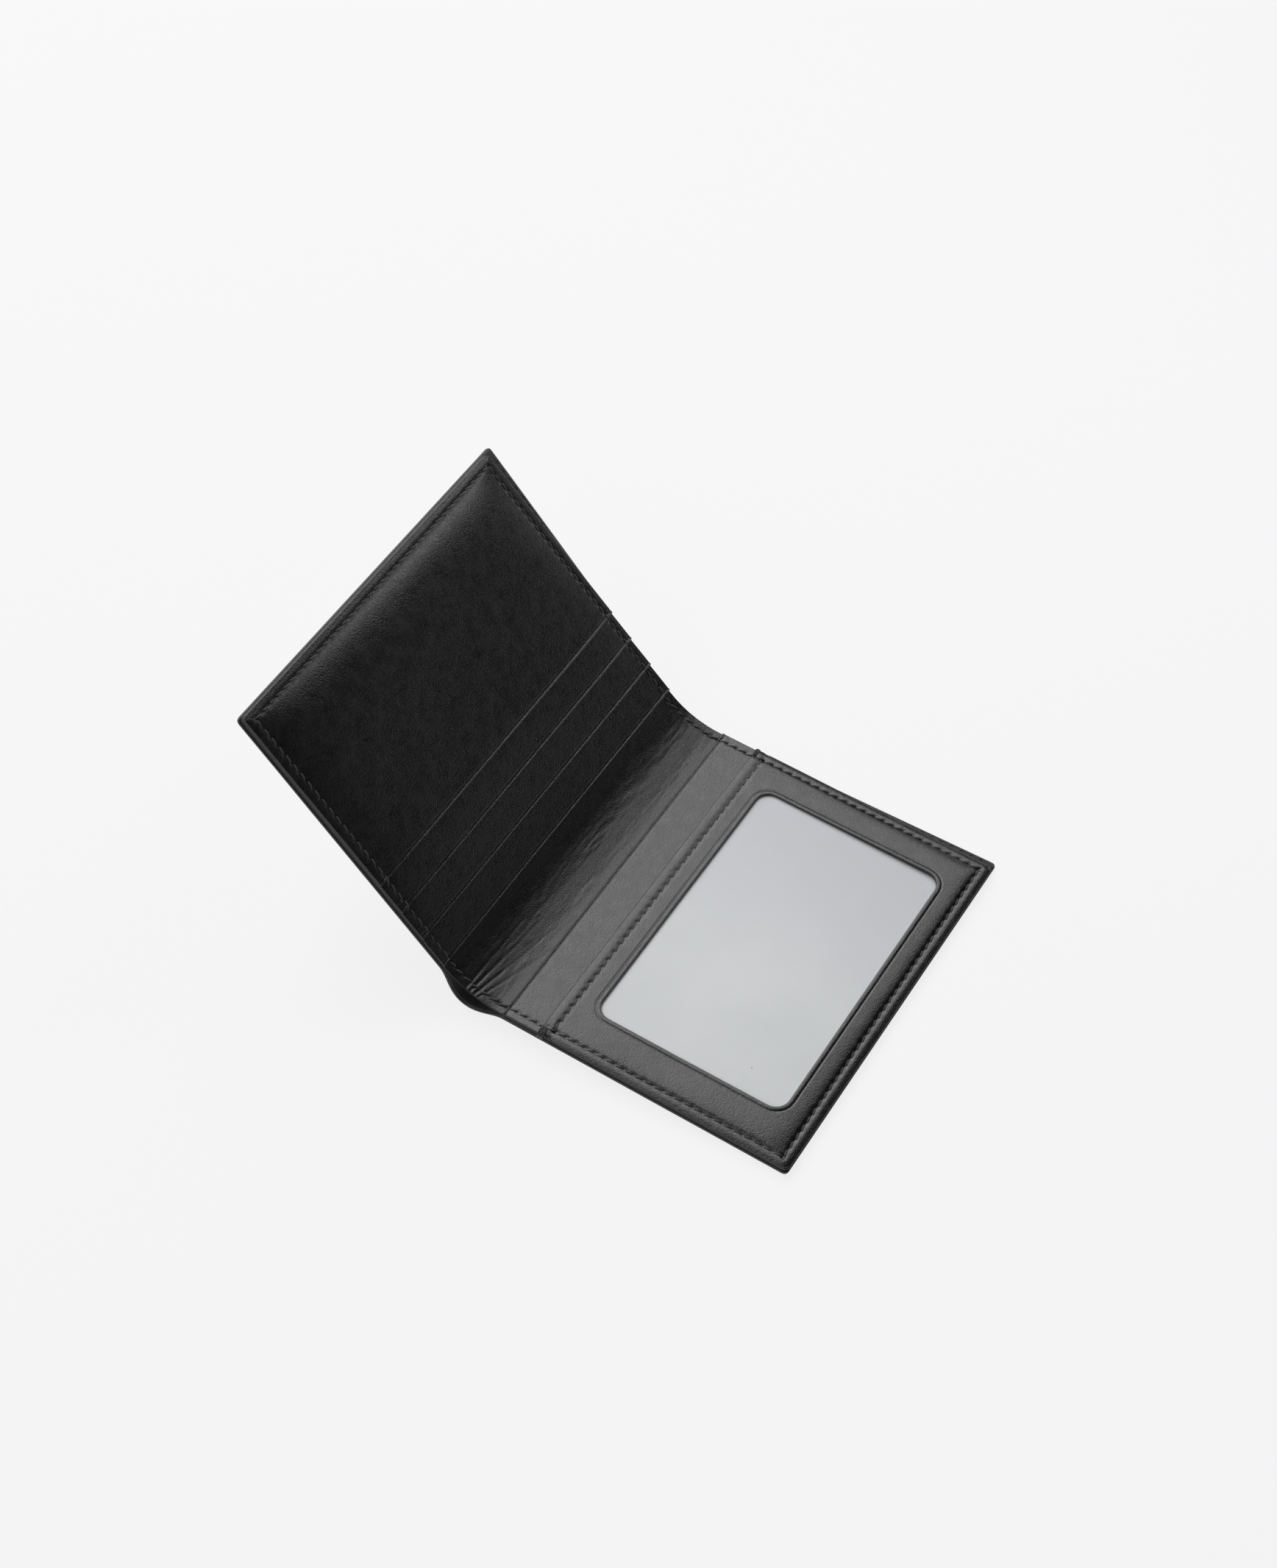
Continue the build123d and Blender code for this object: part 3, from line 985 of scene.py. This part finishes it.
def tube_faces(first, rings):
    """Faces of one thread, whose rings of points follow each other from number first."""
    faces = []
    for i in range(rings - 1):
        a, b = first + i * THREAD_SIDES, first + (i + 1) * THREAD_SIDES
        for j in range(THREAD_SIDES):
            k = (j + 1) % THREAD_SIDES
            faces.append((a + j, b + j, b + k, a + k))
    for base, order in ((first, 1), (first + (rings - 1) * THREAD_SIDES, -1)):
        loop = [base + j for j in range(THREAD_SIDES)][::order]
        faces.append((loop[0], loop[1], loop[2], loop[3]))
        faces.append((loop[0], loop[3], loop[4], loop[5]))
    return faces


def stitch_rows(rows, place, name, size=1.0):
    """One mesh of separate stitches. rows are lists of (u, y, direction, height, up) in a leaf's frame."""
    stations = np.linspace(-1, 1, STITCH_RINGS)
    ring = np.linspace(0, 2 * math.pi, THREAD_SIDES, endpoint=False)
    us, ys, zs, faces = [], [], [], []
    for u, y, direction, height, up in rows:
        faces += tube_faces(len(us), STITCH_RINGS)
        angle = direction + STITCH_SLANT * up
        along = np.array([math.cos(angle), math.sin(angle)])
        side = up * np.array([-along[1], along[0]])
        for t in stations:
            radius = size * STITCH_R * math.sqrt(max(1 - abs(t) ** 3, 0.04))
            sink = -0.22 * abs(t) ** 3
            for a in ring:
                offset = along * t * size * STITCH_L / 2 + side * radius * math.cos(a)
                us.append(u + offset[0])
                ys.append(y + offset[1])
                zs.append(height + up * (sink + radius * 0.8 * math.sin(a)))
    us, ys, zs = np.array(us), np.array(ys), np.array(zs)
    plan = np.stack([us, ys + zs * 0.7], axis=1)
    return make_object(name, place(us, ys, zs), np.array(faces), plan, np.zeros(len(us)), THREAD)


def seam(start, end, height, up=1, sink=-0.05):
    """Stitches of a straight seam. height(u, y) is the surface that they lie on."""
    start, end = np.array(start), np.array(end)
    run = np.linalg.norm(end - start)
    count = max(int(round(run / STITCH_PITCH)), 1)
    direction = math.atan2(end[1] - start[1], end[0] - start[0])
    rows = []
    for i in range(count):
        u, y = start + (end - start) * (i + 0.5) / count
        surface = float(height(np.array([u]), np.array([y]))[0])
        rows.append((u, y, direction, surface - up * sink, up))
    return rows


def left_surface(u, y):
    """Height of the left leaf's face, without its pockets' own unevenness."""
    layers = np.clip(np.floor((u - POCKET_FIRST) / POCKET_STEP) + 1, 0, LEFT_POCKETS)
    return BASE_TOP + layers * POCKET_PITCH + left_relief(u, y)


def right_surface(u, y):
    """Height of the right leaf's face, without the finer unevenness of its pieces."""
    pocket = BASE_TOP + POCKET_PITCH * (u > POCKET_FIRST)
    return np.where(u > PANEL_MOUTH, PANEL_TOP + panel_relief(u, y), pocket + right_relief(u, y))


def under_surface(u, y):
    """Height that the stitches on the shell's outer face lie at."""
    return np.full_like(u, 0.26)


def leaf_seams(side, place, surface, body, rise):
    """The seams that both leaves have, on their inner and outer faces."""
    outer = LEAF_W - SEAM_IN
    near, far = NEAR + SEAM_IN, FAR - SEAM_IN
    start = SEAM_START
    sink = -0.02 if side == "right" else -0.06
    rows_of = {
        "near_" + side: (seam((start, near), (outer, near), surface, sink=sink)
                         + seam((start, near), (outer, near), under_surface, -1)),
        "outer_" + side: (seam((outer, near), (outer, far), surface, sink=sink)
                          + seam((outer, near), (outer, far), under_surface, -1)),
        "far_" + side: seam((start, far), (outer, far), surface, sink=sink),
    }
    bill_start = (LEAF_W * 0.62, FAR + rise * 0.58 - BILL_SEAM)
    bill_end = (outer, FAR + rise - BILL_SEAM)
    rows_of["bill_edge_" + side] = (
        seam(bill_start, bill_end, flat(SHELL_TOP))
        + seam((LEAF_START + 4, FAR - 1.0), bill_end, under_surface, -1))
    for name, rows in rows_of.items():
        size = 0.7 if "bill" in name else 1.0
        obj = stitch_rows(rows, place, "stitches_" + name, size)
        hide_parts("thread_" + name)
        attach(obj, body)


def fold_seams():
    """Stitches along the two ends of the strip between the pockets."""
    reach = INNER_FOLD.across(POCKET_FIRST)
    rows = []
    for y in (NEAR + SEAM_IN, FAR - SEAM_IN):
        rows += seam((-reach, y), (reach, y), flat(BASE_TOP))
    obj = stitch_rows(rows, INNER_FOLD.place, "stitches_fold")
    across_fold(obj)


def panel_mouth_seam():
    """Stitches beside the window panel's mouth."""
    u = PANEL_MOUTH + MOUTH_SEAM
    rows = seam((u, NEAR + SEAM_IN), (u, FAR - SEAM_IN), panel_top, sink=0.07)
    obj = stitch_rows(rows, right_point, "stitches_panel_mouth")
    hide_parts("thread_panel_mouth")
    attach(obj, "right_leaf")


WRAP_TOP = PANEL_TOP - 0.42
WRAP_R = 0.19
WRAP_STEP = 0.30


def wrap_path(u, y_edge, inward):
    """A thread's path from the leather's face, over the edge and down the side of the stack."""
    over = ((2.3, -0.25), (1.9, 0.12), (1.1, 0.16), (0.4, 0.02))
    down = ((-0.12, -0.35), (-0.12, -0.8), (-0.12, -1.2), (0.25, -1.45))
    return np.array([(u, y_edge + inward * gap, WRAP_TOP + lift) for gap, lift in over + down])


def tube_points(path, radius):
    """Rings of points round a path."""
    along = np.gradient(path, axis=0)
    along /= np.linalg.norm(along, axis=1)[:, None]
    across = np.array([1.0, 0.0, 0.0])
    points = []
    for centre, direction in zip(path, along):
        up = np.cross(direction, across)
        for angle in np.linspace(0, 2 * math.pi, THREAD_SIDES, endpoint=False):
            points.append(centre + radius * (math.cos(angle) * across + math.sin(angle) * up))
    return points


def bar_tacks():
    """Threads wound over both edges of the stack, where the window panel's mouth meets them."""
    points, faces = [], []
    for y_edge, inward, count, lower in ((NEAR, 1, 5, 0.0), (FAR, -1, 3, 0.14)):
        for i in range(count):
            path = wrap_path(PANEL_MOUTH + 0.1 + WRAP_STEP * i, y_edge + inward * lower, inward)
            path[:, 2] -= lower
            path[:, 0] += 0.10 * np.sin(np.arange(len(path)) * 1.9 + i * 2.1)
            faces += tube_faces(len(points), len(path))
            points += tube_points(path, WRAP_R)
    points = np.array(points)
    placed = right_point(points[:, 0], points[:, 1], points[:, 2])
    plan = np.stack([points[:, 0], points[:, 1] + points[:, 2]], axis=1)
    obj = make_object("tacks", placed, np.array(faces), plan, np.zeros(len(points)), THREAD)
    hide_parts("bar_tacks")
    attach(obj, "right_leaf")


# ---------------------------------------------------------------- the whole wallet

def left_leaf():
    for i in range(LEFT_POCKETS):
        pocket = card_pocket(f"pocket_left_{i + 1}", i, left_point, left_relief,
                             f"card_pocket_left_{i + 1}", 61 + i)
        lining = pocket_lining(f"pocket_lining_left_{i + 1}", i, left_point, left_relief,
                               f"card_pocket_lining_left_{i + 1}")
        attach(pocket, "left_leaf")
        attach(lining, "left_leaf")
    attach(stiffener("left", left_point), "left_leaf")
    leaf_seams("left", left_point, left_surface, "left_leaf", RISE_LEFT)


def right_leaf():
    pocket = card_pocket("pocket_right", 0, right_point, right_relief, "card_pocket_right", 71)
    lining = pocket_lining("pocket_lining_right", 0, right_point, right_relief, "card_pocket_lining_right")
    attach(pocket, "right_leaf")
    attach(lining, "right_leaf")
    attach(stiffener("right", right_point), "right_leaf")
    window_panel()
    window_film()
    insert_card()
    leaf_seams("right", right_point, right_surface, "right_leaf", RISE_RIGHT)
    panel_mouth_seam()
    bar_tacks()


def area_light(name, location, target, size, power):
    """A soft light facing its target, with its first side level and along X."""
    data = bpy.data.lights.new(name, "AREA")
    data.shape = "RECTANGLE"
    data.size, data.size_y = size
    data.energy = power
    light = bpy.data.objects.new(name, data)
    back = (Vector(location) - Vector(target)).normalized()
    across = (Vector((1, 0, 0)) - back * back.x).normalized()
    axes = Matrix((across, back.cross(across), back)).transposed()
    light.matrix_world = Matrix.Translation(location) @ axes.to_4x4()
    bpy.context.scene.collection.objects.link(light)


FLOOR_DROP = 0.0002      # metres that the floor lies below the wallet
# Name, place, target and size in metres, and power in watts
LIGHTS = (
    ("key", (-0.70, 0.45, 1.0), (-0.36, 0.0, 0.0), (1.12, 1.5), 20.3),
    ("strip", (0.075, 0.27, 0.33), (-0.07, 0.01, 0.06), (0.085, 0.20), 0.25),
    ("fill", (-0.3, -1.2, 1.2), (0.0, 0.0, 0.0), (1.2, 0.8), 6.5),
)
WORLD_STRENGTH = 0.01


def floor():
    """A wide pale sweep, flat round the wallet and rising far away. Rings are (radius, rise) in metres."""
    rings = ((0.0, 0.0), (0.4, 0.0), (1.0, 0.0), (2.0, 0.0), (4.0, 0.0), (7.0, 0.0),
             (8.0, 0.06), (8.6, 0.25), (9.0, 0.6), (9.2, 1.2))
    count = 96
    points, faces = [], []
    for radius, rise in rings:
        for a in np.linspace(0, 2 * math.pi, count, endpoint=False):
            points.append((radius * math.cos(a), radius * math.sin(a), rise - FLOOR_DROP))
    for i in range(1, len(rings)):
        inner, outer = (i - 1) * count, i * count
        for j in range(count):
            k = (j + 1) % count
            faces.append((inner + j, outer + j, outer + k, inner + k))
    mesh = bpy.data.meshes.new("floor")
    mesh.from_pydata(points, [], faces)
    mesh.materials.append(floor_material())
    obj = bpy.data.objects.new("floor", mesh)
    bpy.context.scene.collection.objects.link(obj)


def studio():
    """A large soft light behind and to the left, a small one behind, a weak one in front."""
    floor()
    for light in LIGHTS:
        area_light(*light)
    scene = bpy.context.scene
    scene.view_settings.view_transform = "Standard"
    world = bpy.data.worlds.new("studio")
    scene.world = world
    world.use_nodes = True
    background = world.node_tree.nodes["Background"]
    background.inputs["Color"].default_value = (1, 1, 1, 1)
    background.inputs["Strength"].default_value = WORLD_STRENGTH


# The photo's viewpoint: place in metres, turn in degrees, sensor and lens in millimetres
CAMERA_PLACE = (0.20048, -0.34579, 0.52286)
CAMERA_TURN = (39.316, -1.265, 31.469)
SENSOR_W = 36.0
LENS = 65.16


def camera():
    """The camera that the photo is matched from."""
    data = bpy.data.cameras.new("camera")
    data.sensor_width = SENSOR_W
    data.lens = LENS
    cam = bpy.data.objects.new("camera", data)
    cam.location = CAMERA_PLACE
    cam.rotation_euler = [math.radians(a) for a in CAMERA_TURN]
    bpy.context.scene.collection.objects.link(cam)
    bpy.context.scene.camera = cam


camera()
studio()
shell_leather()
shell_lining()
inner_panel()
fold_seams()
right_leaf()
left_leaf()
